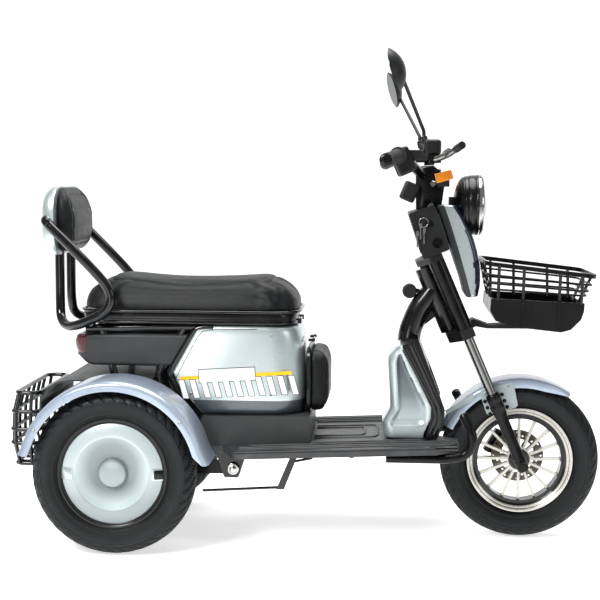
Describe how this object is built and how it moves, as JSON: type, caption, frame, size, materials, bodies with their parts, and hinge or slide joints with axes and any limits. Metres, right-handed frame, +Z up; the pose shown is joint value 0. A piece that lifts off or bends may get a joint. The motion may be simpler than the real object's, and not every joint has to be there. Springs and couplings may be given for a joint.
{
  "type": "electric tricycle",
  "caption": "Step-through electric tricycle with padded seat, backrest with armrests, front and rear baskets, spoked front wheel and capped rear wheels.",
  "frame": {"origin": "on the floor, under the middle of the overall length and width", "axes": "+X forward, +Y to the rider's left, +Z up"},
  "size_m": [1.544, 0.7674, 1.256],
  "materials": {
    "tyre": "matte",
    "alloy": "satin",
    "steel_dark": "satin",
    "steel": "brushed",
    "silver_paint": "metallic gloss",
    "chrome": "polished",
    "black_paint": "gloss",
    "black_plastic": "satin",
    "rubber": "matte",
    "seat_leather": "satin",
    "red_lens": "gloss",
    "amber_lens": "gloss",
    "clear_lens": "clear",
    "mirror": "polished"
  },
  "bodies": {
    "frame": {"main_frame": "black_paint", "swing_arm": "black_paint", "rear_axle": "black_paint", "shocks": "black_paint", "floor_deck": "black_paint", "side_guards": "black_paint", "leg_shield_inner": "silver_paint", "leg_shield_outer": "black_plastic", "seat_box": "silver_paint", "seat_box_base": "black_plastic", "seat_frame": "black_paint", "tail_panel": "black_plastic", "tail_lamp": "red_lens", "fender_left": "silver_paint", "fender_right": "silver_paint", "rear_cover": "black_plastic", "armrest_left": "black_paint", "armrest_right": "black_paint", "backrest_shell": "silver_paint", "backrest_cushion": "seat_leather", "rear_basket": "black_paint", "relay_lever": "black_paint", "horn": "black_plastic", "hinge_brackets": "black_paint"},
    "steering": {"steering_stem": "black_paint", "fork_covers": "black_paint", "fork_tubes": "chrome", "fork_lowers": "black_paint", "front_axle": "steel", "brake_caliper": "black_paint", "front_fender": "silver_paint", "handlebar": "black_paint", "grips": "rubber", "switch_housings": "black_plastic", "brake_levers": "black_paint", "mirrors": "black_plastic", "mirror_glasses": "mirror", "instrument_box": "black_plastic", "headlight_bowl": "black_plastic", "headlight_lens": "clear_lens", "front_fairing": "black_plastic", "fairing_trim": "silver_paint", "ignition_cover": "black_plastic", "ignition_lock": "steel", "turn_signals": "amber_lens", "front_basket": "black_plastic"},
    "front_wheel": {"front_tyre": "tyre", "front_rim": "alloy", "brake_disc": "steel"},
    "rear_wheel_left": {"rear_tyre_left": "tyre", "rear_rim_left": "steel_dark", "wheel_cap_left": "silver_paint"},
    "rear_wheel_right": {"rear_tyre_right": "tyre", "rear_rim_right": "steel_dark", "wheel_cap_right": "silver_paint"},
    "seat": {"seat_cushion": "seat_leather", "seat_pan": "black_plastic"},
    "child_seat": {"child_pad": "seat_leather", "child_plate": "black_plastic"}
  },
  "joints": [
    {"name": "steering_turn", "type": "hinge", "parent": "frame", "child": "steering", "pos_m": [0.53449, 0, 0.19804], "axis": [-0.3987, 0, 0.9171], "range_deg": [-35, 35]},
    {"name": "front_wheel_roll", "type": "hinge", "parent": "steering", "child": "front_wheel", "pos_m": [0.562, 0, 0.21], "axis": [0, 1, 0], "continuous": true},
    {"name": "rear_left_roll", "type": "hinge", "parent": "frame", "child": "rear_wheel_left", "pos_m": [-0.476, 0.25, 0.21], "axis": [0, 1, 0], "continuous": true},
    {"name": "rear_right_roll", "type": "hinge", "parent": "frame", "child": "rear_wheel_right", "pos_m": [-0.476, -0.25, 0.21], "axis": [0, 1, 0], "continuous": true},
    {"name": "seat_lift", "type": "hinge", "parent": "frame", "child": "seat", "pos_m": [-0.022, 0, 0.578], "axis": [0, 1, 0], "range_deg": [0, 75]},
    {"name": "child_seat_swing", "type": "hinge", "parent": "frame", "child": "child_seat", "pos_m": [0.014, 0, 0.526], "axis": [0, -1, 0], "range_deg": [0, 90]}
  ]
}
